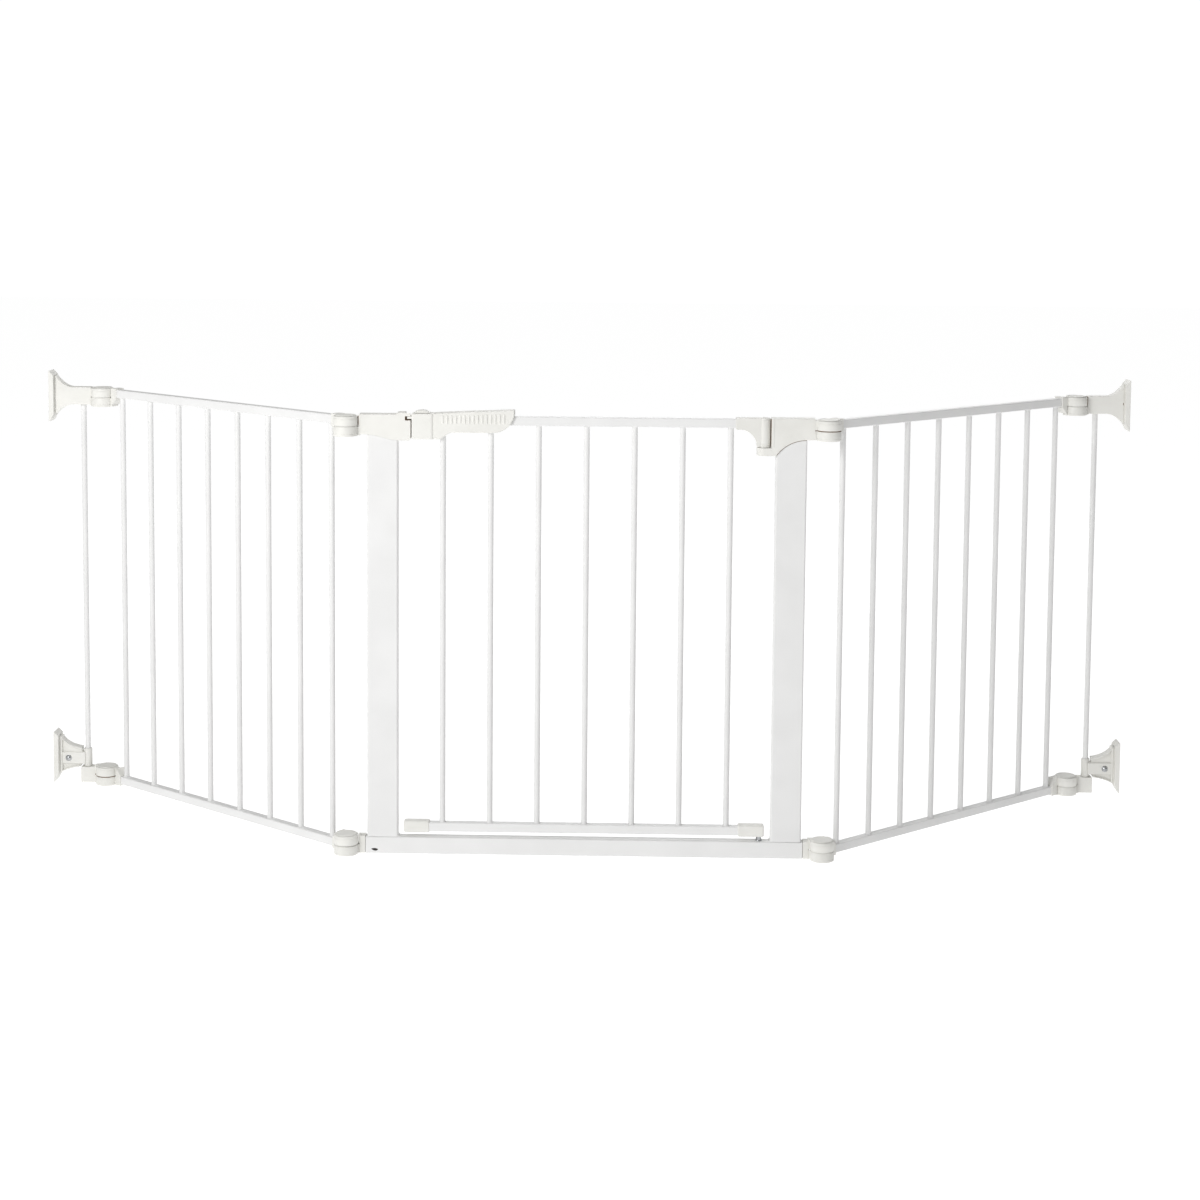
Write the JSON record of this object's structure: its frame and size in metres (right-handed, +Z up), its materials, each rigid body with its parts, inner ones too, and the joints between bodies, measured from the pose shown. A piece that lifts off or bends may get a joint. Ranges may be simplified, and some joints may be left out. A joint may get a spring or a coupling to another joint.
{
  "type": "configurable safety gate",
  "caption": "Barred child safety gate with a lift-and-swing door, folding side panels on toothed knuckle hinges, and height-adjustable wall mounts.",
  "frame": {"origin": "on the floor under the middle of the threshold rail", "axes": "+X along the gate towards the door hinge side, +Y towards the wall behind it, +Z up"},
  "size_m": [1.9132, 0.4478, 0.746],
  "materials": {
    "powder_coat": "smooth satin powder coat, cool white",
    "plastic": "fine satin moulded plastic, warm white",
    "zinc": "bright zinc plate"
  },
  "bodies": {
    "gate_frame": {"left_post": "powder_coat", "right_post": "powder_coat", "base_rail": "powder_coat", "latch_post_bracket": "plastic", "hinge_post_bracket": "plastic", "left_base_knuckle": "plastic", "right_base_knuckle": "plastic", "door_bottom_pin": "zinc", "right_near_top_bolt": "zinc", "right_near_top_cap": "plastic", "right_near_bottom_bolt": "zinc", "right_near_bottom_cap": "plastic"},
    "hinge_pin": {"door_top_pin": "zinc"},
    "door": {"door_grille": "powder_coat", "door_latch_end_cap": "plastic", "door_hinge_end_cap": "plastic", "door_hinge_bracket": "plastic", "closer_spring": "zinc", "handle_front_shell": "plastic", "handle_back_shell": "plastic", "latch_spring": "zinc"},
    "thumb_latch": {"thumb_slide": "plastic", "latch_bolt": "plastic"},
    "left_panel": {"left_panel_grille": "powder_coat", "left_near_top_arm": "plastic", "left_near_bottom_arm": "plastic", "left_far_top_arm": "plastic", "left_far_bottom_arm": "plastic", "left_near_top_bolt": "zinc", "left_near_top_cap": "plastic", "left_near_bottom_bolt": "zinc", "left_near_bottom_cap": "plastic"},
    "right_panel": {"right_panel_grille": "powder_coat", "right_near_top_arm": "plastic", "right_near_bottom_arm": "plastic", "right_far_top_arm": "plastic", "right_far_bottom_arm": "plastic", "right_far_top_bolt": "zinc", "right_far_top_cap": "plastic", "right_far_bottom_bolt": "zinc", "right_far_bottom_cap": "plastic"},
    "left_wall_mount": {"left_top_wall_bracket": "plastic", "left_top_wall_plate": "plastic", "left_mounting_rod": "powder_coat", "left_hinge_block": "plastic", "left_far_top_bolt": "zinc", "left_far_top_cap": "plastic", "left_far_bottom_bolt": "zinc", "left_far_bottom_cap": "plastic"},
    "right_wall_mount": {"right_top_wall_bracket": "plastic", "right_top_wall_plate": "plastic", "right_mounting_rod": "powder_coat", "right_hinge_block": "plastic"},
    "left_foot": {"left_bottom_wall_bracket": "plastic", "left_bottom_wall_plate": "plastic", "left_bracket_screw": "zinc"},
    "right_foot": {"right_bottom_wall_bracket": "plastic", "right_bottom_wall_plate": "plastic", "right_bracket_screw": "zinc"}
  },
  "joints": [
    {"name": "left_fold", "type": "hinge", "parent": "gate_frame", "child": "left_panel", "pos_m": [-0.386, -0.0105, 0.359], "axis": [0, 0, -1], "range_deg": [-128.4, 51.6]},
    {"name": "right_fold", "type": "hinge", "parent": "gate_frame", "child": "right_panel", "pos_m": [0.386, -0.0105, 0.359], "axis": [0, 0, 1], "range_deg": [-130.5, 49.5]},
    {"name": "left_wall_swivel", "type": "hinge", "parent": "left_panel", "child": "left_wall_mount", "pos_m": [-0.86876, 0.37213, 0.359], "axis": [0, 0, -1], "range_deg": [-36.6, 113.4]},
    {"name": "right_wall_swivel", "type": "hinge", "parent": "right_panel", "child": "right_wall_mount", "pos_m": [0.85441, 0.38956, 0.359], "axis": [0, 0, 1], "range_deg": [-34.5, 115.5]},
    {"name": "left_foot_slide", "type": "slide", "parent": "left_wall_mount", "child": "left_foot", "axis": [0, 0, 1], "range_m": [0, 0.55]},
    {"name": "right_foot_slide", "type": "slide", "parent": "right_wall_mount", "child": "right_foot", "axis": [0, 0, 1], "range_m": [0, 0.55]},
    {"name": "door_lift", "type": "slide", "parent": "gate_frame", "child": "hinge_pin", "axis": [0, 0, 1], "range_m": [0, 0.008]},
    {"name": "door_swing", "type": "hinge", "parent": "hinge_pin", "child": "door", "pos_m": [0.2839, 0, 0.359], "axis": [0, 0, 1], "range_deg": [-90, 90], "stiffness_Nm_per_rad": 0.35},
    {"name": "latch_slide", "type": "slide", "parent": "door", "child": "thumb_latch", "axis": [1, 0, 0], "range_m": [0, 0.007], "stiffness_N_per_m": 200, "springref_m": -0.004, "deforming": ["latch_spring"]}
  ]
}
